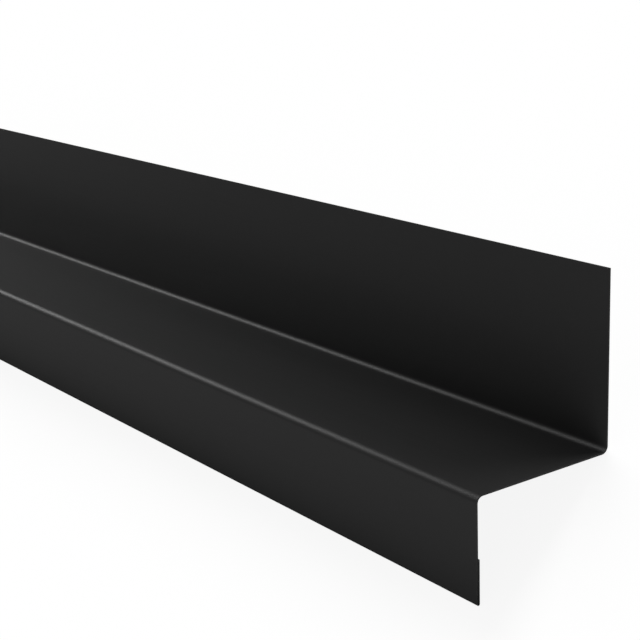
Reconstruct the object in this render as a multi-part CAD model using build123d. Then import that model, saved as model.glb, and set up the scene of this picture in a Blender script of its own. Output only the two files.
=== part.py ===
from build123d import *
from math import asin, atan2, cos, degrees, hypot, radians
import os

# Driving dimensions, in millimetres and degrees
length = 2000.0  # one stock length, cut square at both ends
upright_height = 60.0  # from the underside of the shelf to the top edge
shelf_depth = 55.0  # from the back of the upright to the inner face of the drip leg
leg_height = 35.0  # from the underside of the shelf to the bottom of the hem
hem_depth = 15.0  # from the bottom of the hem to its free edge
sheet_thickness = 0.5  # coated steel sheet
bend_radius = 2.0  # inside radius of the heel and of the nose
hem_gap = 0.05  # between the two plies of the hem, at the fold
hem_opening = 0.3  # angle by which the returned ply stands off the leg

# Outside radii, which follow from the sheet
heel_radius = bend_radius + sheet_thickness
fold_inside_radius = hem_gap / 2
fold_radius = fold_inside_radius + sheet_thickness

# Places in the section: x runs from front to back, y runs up, and the origin is
# the sharp corner where the back of the upright would meet the underside of the shelf
heel_centre = (-heel_radius, heel_radius)
fold_centre = (-shelf_depth + fold_inside_radius, -leg_height + fold_radius)
hem_straight = (hem_depth - fold_radius) / cos(radians(hem_opening))


def sheet_section():
    """The folded sheet, seen from its near end: one face line thickened by the sheet."""
    with BuildSketch(Plane.YZ) as section:
        with BuildLine():
            upright = Line((0, upright_height), (0, heel_centre[1]))
            heel = JernArc(upright @ 1, upright % 1, heel_radius, -90)
            shelf = Line(heel @ 1, (-shelf_depth + bend_radius, 0))
            nose = JernArc(shelf @ 1, shelf % 1, bend_radius, 90)
            leg = Line(nose @ 1, (-shelf_depth, fold_centre[1]))
            fold = JernArc(leg @ 1, leg % 1, fold_inside_radius, 180 - hem_opening)
            PolarLine(fold @ 1, hem_straight, direction=fold % 1)
            offset(amount=sheet_thickness, side=Side.RIGHT)
        make_face()
    return section.sketch


def resting_tilt():
    """Angle of the floor line that touches both the fold of the hem and the heel."""
    run = heel_centre[0] - fold_centre[0]
    rise = heel_centre[1] - fold_centre[1]
    return degrees(atan2(rise, run) - asin((heel_radius - fold_radius) / hypot(run, rise)))


def drip_edge_flashing():
    """One stock length, tipped back onto its hem and its heel, as it rests on a floor."""
    sheet = extrude(sheet_section(), amount=length / 2, both=True)
    tipped = Rot(X=-resting_tilt()) * sheet
    box = tipped.bounding_box()
    return Pos(0, -box.center().Y, -box.min.Z) * tipped


os.makedirs("parts", exist_ok=True)
flashing = drip_edge_flashing()
flashing.label = "drip_edge_flashing"
export_step(flashing, "parts/drip_edge_flashing.step")
print("tilt", round(resting_tilt(), 4), "size", flashing.bounding_box().size)
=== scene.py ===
from math import asin, atan2, cos, hypot, pi, radians, sin

import bmesh
import bpy
from mathutils import Matrix, Vector


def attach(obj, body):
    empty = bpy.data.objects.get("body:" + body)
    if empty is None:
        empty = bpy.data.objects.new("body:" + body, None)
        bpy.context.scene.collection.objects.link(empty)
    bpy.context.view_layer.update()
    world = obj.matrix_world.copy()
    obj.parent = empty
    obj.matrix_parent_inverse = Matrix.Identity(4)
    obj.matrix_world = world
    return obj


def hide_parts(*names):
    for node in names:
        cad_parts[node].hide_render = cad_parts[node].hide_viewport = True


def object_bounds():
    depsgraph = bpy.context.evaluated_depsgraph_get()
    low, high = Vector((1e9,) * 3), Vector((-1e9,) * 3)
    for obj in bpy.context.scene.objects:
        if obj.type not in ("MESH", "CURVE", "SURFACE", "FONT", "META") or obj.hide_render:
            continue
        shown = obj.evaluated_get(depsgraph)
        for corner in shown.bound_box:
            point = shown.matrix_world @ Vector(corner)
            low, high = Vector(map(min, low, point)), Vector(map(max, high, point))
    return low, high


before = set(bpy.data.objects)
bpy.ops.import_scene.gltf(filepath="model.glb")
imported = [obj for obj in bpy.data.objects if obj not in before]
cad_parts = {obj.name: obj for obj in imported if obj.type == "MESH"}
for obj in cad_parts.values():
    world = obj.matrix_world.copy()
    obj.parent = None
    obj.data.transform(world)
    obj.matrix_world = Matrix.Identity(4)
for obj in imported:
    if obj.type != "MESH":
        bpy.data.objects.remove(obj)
cad_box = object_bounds()

# Sizes of the folded sheet, in metres and radians
LENGTH = cad_box[1].x - cad_box[0].x
UPRIGHT_HEIGHT = 0.060
SHELF_DEPTH = 0.055
LEG_HEIGHT = 0.035
HEM_DEPTH = 0.015
SHEET = 0.0005
BEND_RADIUS = 0.002
HEM_GAP = 0.00005
HEM_OPENING = radians(0.3)

# Sizes that follow from them
HEEL_RADIUS = BEND_RADIUS + SHEET
FOLD_INSIDE_RADIUS = HEM_GAP / 2
FOLD_RADIUS = FOLD_INSIDE_RADIUS + SHEET
HEEL_CENTRE = Vector((0, -HEEL_RADIUS, HEEL_RADIUS))
NOSE_CENTRE = Vector((0, -SHELF_DEPTH + BEND_RADIUS, -BEND_RADIUS))
FOLD_CENTRE = Vector((0, -SHELF_DEPTH + FOLD_INSIDE_RADIUS, -LEG_HEIGHT + FOLD_RADIUS))

# How finely the bends are divided, and the strip beside each bend that keeps its flat face flat
BEND_STEPS = 16
FOLD_STEPS = 16
TANGENT_STRIP = 0.0003

# The wear on the sheared edges. An edge sharper than SHEARED_ANGLE is a sheared one, and faces that
# meet at less than SMOOTH_ANGLE are shaded as one round surface.
EDGE_WEAR = 0.00004
EDGE_WEAR_STEPS = 2
SHEARED_ANGLE = radians(60)
SMOOTH_ANGLE = radians(20)

# Tolerances: the least cosine between an end face and the direction it looks in, how far behind
# the furthest face it may lie, and how near two corners are when they are one
SQUARE_ON = 0.999
SAME_PLANE = SHEET / 10
SAME_CORNER = SHEET / 1000

# The photograph shows the trim standing on its drip leg. At rest it has tipped back onto its heel.
# Everything below is placed in the standing trim's own axes, and RESTING carries it to the floor:
# x runs along the length from the near end, y from front to back and z up, and the origin is the
# sharp corner between the back of the upright and the underside of the shelf.
HEEL_FROM_FOLD = HEEL_CENTRE - FOLD_CENTRE
TILT = atan2(HEEL_FROM_FOLD.z, HEEL_FROM_FOLD.y) - asin(
    (HEEL_RADIUS - FOLD_RADIUS) / hypot(HEEL_FROM_FOLD.y, HEEL_FROM_FOLD.z)
)
TIPPED = Matrix.Rotation(-TILT, 4, "X")
FRONT_EDGE = (TIPPED @ FOLD_CENTRE).y - FOLD_RADIUS
BACK_EDGE = (TIPPED @ Vector((0, 0, UPRIGHT_HEIGHT))).y
FLOOR_LEVEL = (TIPPED @ HEEL_CENTRE).z - HEEL_RADIUS
RESTING = Matrix.Translation((LENGTH / 2, -(FRONT_EDGE + BACK_EDGE) / 2, -FLOOR_LEVEL)) @ TIPPED

# The photograph's view, in the standing trim's axes
VIEW_PLACE = Vector((0.3027980, -0.3279462, 0.1704633))
VIEW_HEADING = pi / 2 - 0.6245563
VIEW_DIP = 0.2750225
VIEW_ROLL = -0.0379646
LENS_MM = 83.4462
SENSOR_MM = 36.0
NEAREST_SEEN = 0.01
FURTHEST_SEEN = 50.0


def make_camera():
    """The photograph's camera, tipped back as the trim is."""
    data = bpy.data.cameras.new("photo_view")
    data.lens = LENS_MM
    data.sensor_width = SENSOR_MM
    data.clip_start = NEAREST_SEEN
    data.clip_end = FURTHEST_SEEN
    camera = bpy.data.objects.new("photo_view", data)
    aim = (
        Matrix.Rotation(VIEW_HEADING, 4, "Z")
        @ Matrix.Rotation(pi / 2 - VIEW_DIP, 4, "X")
        @ Matrix.Rotation(VIEW_ROLL, 4, "Z")
    )
    camera.matrix_world = RESTING @ Matrix.Translation(VIEW_PLACE) @ aim
    bpy.context.scene.collection.objects.link(camera)
    bpy.context.scene.camera = camera


class Value:
    """A socket of a shader that takes part in Python arithmetic: each operation adds a Math node."""

    def __init__(self, shader, socket):
        self.shader = shader
        self.socket = socket

    def _math(self, operation, first, second):
        return self.shader.node("ShaderNodeMath", {"operation": operation}, {0: first, 1: second})

    def __add__(self, other):
        return self._math("ADD", self, other)

    def __radd__(self, other):
        return self._math("ADD", other, self)

    def __sub__(self, other):
        return self._math("SUBTRACT", self, other)

    def __rsub__(self, other):
        return self._math("SUBTRACT", other, self)

    def __mul__(self, other):
        return self._math("MULTIPLY", self, other)

    def __rmul__(self, other):
        return self._math("MULTIPLY", other, self)


class Shader:
    """A node tree that is written as expressions on its sockets."""

    def __init__(self, owner):
        owner.use_nodes = True
        self.tree = owner.node_tree
        self.tree.nodes.clear()

    def node(self, kind, settings, inputs, output=0):
        """Add a node with these settings, give its sockets values or links, and return one output."""
        made = self.tree.nodes.new(kind)
        for name, setting in settings.items():
            setattr(made, name, setting)
        for name, value in inputs.items():
            if isinstance(value, Value):
                self.tree.links.new(value.socket, made.inputs[name])
            else:
                made.inputs[name].default_value = value
        return Value(self, made.outputs[output]) if made.outputs else None

    def noise(self, place, scale, detail):
        """Noise from 0 to 1, with scale features in a metre."""
        return self.node(
            "ShaderNodeTexNoise", {}, {"Vector": place, "Scale": scale, "Detail": detail}, "Fac"
        )

    def ramp(self, value, start, end):
        """A value that runs from one (place, value) pair to the other, and stays level outside them."""
        limits = {"From Min": start[0], "To Min": start[1], "From Max": end[0], "To Max": end[1]}
        return self.node("ShaderNodeMapRange", {}, {"Value": value, **limits})

    def size_along(self, place, axis):
        """How far the place is from the origin along one axis, either way."""
        part = self.node("ShaderNodeSeparateXYZ", {}, {0: place}, axis)
        return self.node("ShaderNodeMath", {"operation": "ABSOLUTE"}, {0: part})

    def moved(self, place, offset):
        """The place, seen from another origin."""
        return self.node("ShaderNodeMapping", {}, {"Vector": place, "Location": offset})

    def stretched(self, place, scale):
        """The place, scaled along each axis."""
        return self.node("ShaderNodeMapping", {}, {"Vector": place, "Scale": scale})

    def background_rays(self):
        """1 for the rays that see the backdrop: from the camera, in gloss and through glass."""
        path = self.tree.nodes.new("ShaderNodeLightPath")
        seen = Value(self, path.outputs["Is Camera Ray"])
        glossy = Value(self, path.outputs["Is Glossy Ray"])
        through = Value(self, path.outputs["Is Transmission Ray"])
        return seen + glossy + through


# Finish of the coil coating: near-black satin paint over thin steel
PAINT_DARK = (0.0042, 0.0042, 0.0042, 1)
PAINT_LIGHT = (0.0058, 0.0058, 0.0058, 1)
PAINT_IOR = 1.45
PAINT_ROUGHNESS = 0.55

# Its three patterns: soft clouds, faint lines from rolling, and a fine grain. A scale counts the
# features in a metre, a spread is how far a pattern moves the roughness, and a factor under 1 along
# x draws a pattern out along the length.
NOISE_MIDDLE = 0.5
CLOUD_SCALE = 22.0
CLOUD_DETAIL = 3.0
CLOUD_ALONG = (0.4, 1.0, 1.0)
CLOUD_SPREAD = 0.05
CLOUD_SHARE_OF_COLOUR = 0.6
ROLLING_SCALE = 700.0
ROLLING_DETAIL = 2.0
ROLLING_ALONG = (0.01, 1.0, 1.0)
ROLLING_SPREAD = 0.03
GRAIN_SCALE = 2600.0
GRAIN_DETAIL = 2.0
GRAIN_HEIGHT = 0.000004
GRAIN_STRENGTH = 0.35


def black_coating():
    """Satin black paint: a fine grain, soft clouds in its gloss and faint lines along the coil."""
    material = bpy.data.materials.new("black_coil_coating")
    shader = Shader(material)
    place = shader.node("ShaderNodeTexCoord", {}, {}, "Object")
    clouds = shader.noise(shader.stretched(place, CLOUD_ALONG), CLOUD_SCALE, CLOUD_DETAIL)
    rolling = shader.noise(shader.stretched(place, ROLLING_ALONG), ROLLING_SCALE, ROLLING_DETAIL)
    grain = shader.noise(place, GRAIN_SCALE, GRAIN_DETAIL)
    lightness = clouds * CLOUD_SHARE_OF_COLOUR + grain * (1 - CLOUD_SHARE_OF_COLOUR)
    colour = shader.node(
        "ShaderNodeMix",
        {"data_type": "RGBA"},
        {"Factor": lightness, "A": PAINT_DARK, "B": PAINT_LIGHT},
        "Result",
    )
    cloudy = (clouds - NOISE_MIDDLE) * CLOUD_SPREAD
    rolled = (rolling - NOISE_MIDDLE) * ROLLING_SPREAD
    bump = shader.node(
        "ShaderNodeBump",
        {},
        {"Strength": GRAIN_STRENGTH, "Distance": GRAIN_HEIGHT, "Height": grain},
    )
    paint = shader.node(
        "ShaderNodeBsdfPrincipled",
        {},
        {
            "Base Color": colour,
            "Roughness": PAINT_ROUGHNESS + cloudy + rolled,
            "IOR": PAINT_IOR,
            "Normal": bump,
        },
    )
    shader.node("ShaderNodeOutputMaterial", {}, {"Surface": paint})
    return material


def select_end_face(sheet, direction):
    """Select only the faces that look along direction and lie furthest that way."""
    bpy.ops.mesh.select_mode(type="FACE")
    bpy.ops.mesh.select_all(action="DESELECT")
    mesh = bmesh.from_edit_mesh(sheet.data)
    facing = [face for face in mesh.faces if face.normal.dot(direction) > SQUARE_ON]
    furthest = max(face.calc_center_median().dot(direction) for face in facing)
    for face in facing:
        if face.calc_center_median().dot(direction) > furthest - SAME_PLANE:
            face.select_set(True)
    bmesh.update_edit_mesh(sheet.data)


def bend_sheet(centre, angle, steps):
    """Carry the selected end of the sheet round a bend."""
    bpy.ops.mesh.spin(steps=steps, angle=angle, center=centre, axis=(1, 0, 0))


def run_sheet(direction, distance):
    """Carry the selected end of the sheet straight on, with a narrow strip at both ends of the run."""
    for step in (TANGENT_STRIP, distance - 2 * TANGENT_STRIP, TANGENT_STRIP):
        bpy.ops.mesh.extrude_region_move(TRANSFORM_OT_translate={"value": direction * step})


def fold_flashing():
    """The trim as it is folded: from the upright round the heel, the nose and the hem."""
    bpy.ops.object.select_all(action="DESELECT")
    bpy.ops.mesh.primitive_cube_add(
        size=1,
        location=(-LENGTH / 2, -SHEET / 2, (UPRIGHT_HEIGHT + HEEL_RADIUS + TANGENT_STRIP) / 2),
        scale=(LENGTH, SHEET, UPRIGHT_HEIGHT - HEEL_RADIUS - TANGENT_STRIP),
    )
    sheet = bpy.context.object
    sheet.name = "folded_flashing"
    bpy.ops.object.transform_apply(location=True, rotation=True, scale=True)
    bpy.ops.object.mode_set(mode="EDIT")

    down = Vector((0, 0, -1))
    forward = Vector((0, -1, 0))
    back_up = Vector((0, sin(HEM_OPENING), cos(HEM_OPENING)))
    select_end_face(sheet, down)
    bpy.ops.mesh.extrude_region_move(TRANSFORM_OT_translate={"value": down * TANGENT_STRIP})
    bend_sheet(HEEL_CENTRE, pi / 2, BEND_STEPS)
    run_sheet(forward, SHELF_DEPTH - BEND_RADIUS - HEEL_RADIUS)
    bend_sheet(NOSE_CENTRE, -pi / 2, BEND_STEPS)
    run_sheet(down, NOSE_CENTRE.z - FOLD_CENTRE.z)
    bend_sheet(FOLD_CENTRE, HEM_OPENING - pi, FOLD_STEPS)
    run_sheet(back_up, (HEM_DEPTH - FOLD_RADIUS) / cos(HEM_OPENING))

    bpy.ops.mesh.select_all(action="SELECT")
    bpy.ops.mesh.remove_doubles(threshold=SAME_CORNER)
    bpy.ops.mesh.normals_make_consistent(inside=False)
    bpy.ops.mesh.select_mode(type="EDGE")
    bpy.ops.mesh.select_all(action="DESELECT")
    bpy.ops.mesh.edges_select_sharp(sharpness=SHEARED_ANGLE)
    bpy.ops.mesh.bevel(offset=EDGE_WEAR, segments=EDGE_WEAR_STEPS, affect="EDGES")
    bpy.ops.object.mode_set(mode="OBJECT")
    bpy.ops.object.shade_smooth_by_angle(angle=SMOOTH_ANGLE)

    sheet.matrix_world = RESTING
    bpy.ops.object.transform_apply(location=True, rotation=True, scale=True)
    sheet.data.materials.append(black_coating())
    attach(sheet, "root")
    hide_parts("drip_edge_flashing")


# The stage: a white floor that takes only a faint shadow, white all round, and soft lamps. The
# glow of the floor and of the cards is left out of the lamps that are sampled, which keeps the
# paint free of speckle.
FLOOR_SIZE = 14.0
FLOOR_COLOUR = (0.8, 0.8, 0.8, 1)
SHADOW_SHARE = 0.1
WHITE = (1, 1, 1, 1)
ROOM_LIGHT = (0.42, 0.42, 0.42, 1)


def make_floor():
    """White to the camera and in reflections, apart from a small share that takes light and shadow."""
    bpy.ops.object.select_all(action="DESELECT")
    bpy.ops.mesh.primitive_plane_add(size=FLOOR_SIZE)
    floor = bpy.context.object
    floor.name = "white_floor"
    material = bpy.data.materials.new("white_floor")
    shader = Shader(material)
    lit = shader.node("ShaderNodeBsdfDiffuse", {}, {"Color": FLOOR_COLOUR})
    white = shader.node("ShaderNodeEmission", {}, {"Color": WHITE, "Strength": 1.0})
    share = shader.background_rays() * (1 - SHADOW_SHARE)
    surface = shader.node("ShaderNodeMixShader", {}, {0: share, 1: lit, 2: white})
    shader.node("ShaderNodeOutputMaterial", {}, {"Surface": surface})
    floor.data.materials.append(material)
    material.cycles.emission_sampling = "NONE"


def make_room():
    """White to the camera and in reflections, and a plain grey light on everything."""
    world = bpy.data.worlds.new("studio")
    shader = Shader(world)
    colour = shader.node(
        "ShaderNodeMix",
        {"data_type": "RGBA"},
        {"Factor": shader.background_rays(), "A": ROOM_LIGHT, "B": WHITE},
        "Result",
    )
    light = shader.node("ShaderNodeBackground", {}, {"Color": colour, "Strength": 1.0})
    shader.node("ShaderNodeOutputWorld", {}, {"Surface": light})
    bpy.context.scene.world = world


# Black satin paint turns grey in a white room, so grey cards lie on the floor and stand all round.
# They glow rather than reflect, a painted reflection that only the paint's reflections see. They
# are darker towards their tops, and the one on the floor has a painted shadow: a dark strip along
# the front of the trim, as long as the trim is, standing for the trim's shadow on the floor.
FLOOR_CARD = 0.62
HIGH_CARD = 0.055
CARDS_SIZE = 8.0
CARDS_CLEARANCE = 0.0001
DARK_FROM_HEIGHT = 0.85
PAINTED_SHADOW_STRIP = 0.015
GREY_FROM_PAINTED_SHADOW = 0.06
GREY_PAST_END = 0.02


def make_grey_cards():
    """One box of glowing cards round the trim, seen grey in the paint's gloss only, with a painted
    shadow.
    """
    bpy.ops.object.select_all(action="DESELECT")
    bpy.ops.mesh.primitive_cube_add(
        size=CARDS_SIZE, location=(0, 0, CARDS_SIZE / 2 + CARDS_CLEARANCE)
    )
    cards = bpy.context.object
    cards.name = "grey_cards"
    bpy.ops.object.transform_apply(location=True, rotation=True, scale=True)
    material = bpy.data.materials.new("grey_cards")
    shader = Shader(material)
    place = shader.node("ShaderNodeTexCoord", {}, {}, "Object")
    # Painted shadow: the cards' glow goes dark in a strip along the trim's front and fades to grey
    # further out and past the trim's ends.
    across = shader.size_along(shader.moved(place, (0, -cad_box[0].y, 0)), "Y")
    beside_painted_shadow = shader.ramp(across, (PAINTED_SHADOW_STRIP, 0), (GREY_FROM_PAINTED_SHADOW, 1))
    along = shader.size_along(place, "X")
    past_painted_shadow_end = shader.ramp(along, (cad_box[1].x, 0), (cad_box[1].x + GREY_PAST_END, 1))
    off_painted_shadow = shader.node("ShaderNodeMath", {"operation": "MAXIMUM"}, {0: beside_painted_shadow, 1: past_painted_shadow_end})
    grey = shader.ramp(shader.size_along(place, "Z"), (0, FLOOR_CARD), (DARK_FROM_HEIGHT, HIGH_CARD))
    card = shader.node("ShaderNodeEmission", {}, {"Color": WHITE, "Strength": off_painted_shadow * grey})
    shader.node("ShaderNodeOutputMaterial", {}, {"Surface": card})
    cards.data.materials.append(material)
    material.cycles.emission_sampling = "NONE"
    cards.visible_camera = False
    cards.visible_diffuse = False
    cards.visible_transmission = False
    cards.visible_shadow = False


# Every lamp hangs at this distance from a place near the trim's near end, and points at it
AIM_AT = Vector((0.8, 0.0, 0.02))
LAMP_DISTANCE = 2.5

# Three softboxes for the gloss of the paint, each with its compass angle, its height angle, its
# width and height, and its brightness
SOFTBOXES = {
    "far_softbox": (radians(173), radians(33), 0.8, 1.4, 7.7),
    "front_softbox": (radians(-67), radians(15), 1.2, 1.2, 10.1),
    "end_softbox": (radians(75), radians(10), 1.2, 1.2, 11.9),
}

# And a broad, even lamp behind the trim, which lights the floor and the paint's own colour
SKYLIGHT_AIM = (radians(120), radians(35))
SKYLIGHT_SPREAD = radians(27)
SKYLIGHT_STRENGTH = 4.56


def towards(compass, height):
    """The direction at this compass angle, counted from x to y, and at this angle above the floor."""
    return Vector((cos(height) * cos(compass), cos(height) * sin(compass), sin(height)))


def hang_lamp(name, data, direction):
    """Hang a lamp in this direction from AIM_AT, and point it back there."""
    lamp = bpy.data.objects.new(name, data)
    aim = direction.to_track_quat("Z", "Y").to_matrix().to_4x4()
    lamp.matrix_world = Matrix.Translation(AIM_AT + direction * LAMP_DISTANCE) @ aim
    lamp.visible_camera = False
    bpy.context.scene.collection.objects.link(lamp)
    return lamp


def make_softbox(name, compass, height, width, tall, brightness):
    """A lamp that shows only in the gloss. Its power grows with its size, so its brightness holds."""
    data = bpy.data.lights.new(name, "AREA")
    data.shape = "RECTANGLE"
    data.size = width
    data.size_y = tall
    data.energy = brightness * pi * width * tall
    hang_lamp(name, data, towards(compass, height)).visible_diffuse = False


def make_skylight():
    """The one lamp that casts the trim's shadow. It adds nothing to the gloss."""
    data = bpy.data.lights.new("skylight", "SUN")
    data.angle = SKYLIGHT_SPREAD
    data.energy = SKYLIGHT_STRENGTH
    hang_lamp("skylight", data, towards(*SKYLIGHT_AIM)).visible_glossy = False


make_camera()
make_room()
make_floor()
make_grey_cards()
for box_name, box in SOFTBOXES.items():
    make_softbox(box_name, *box)
make_skylight()
fold_flashing()

bpy.context.scene.view_settings.view_transform = "Standard"
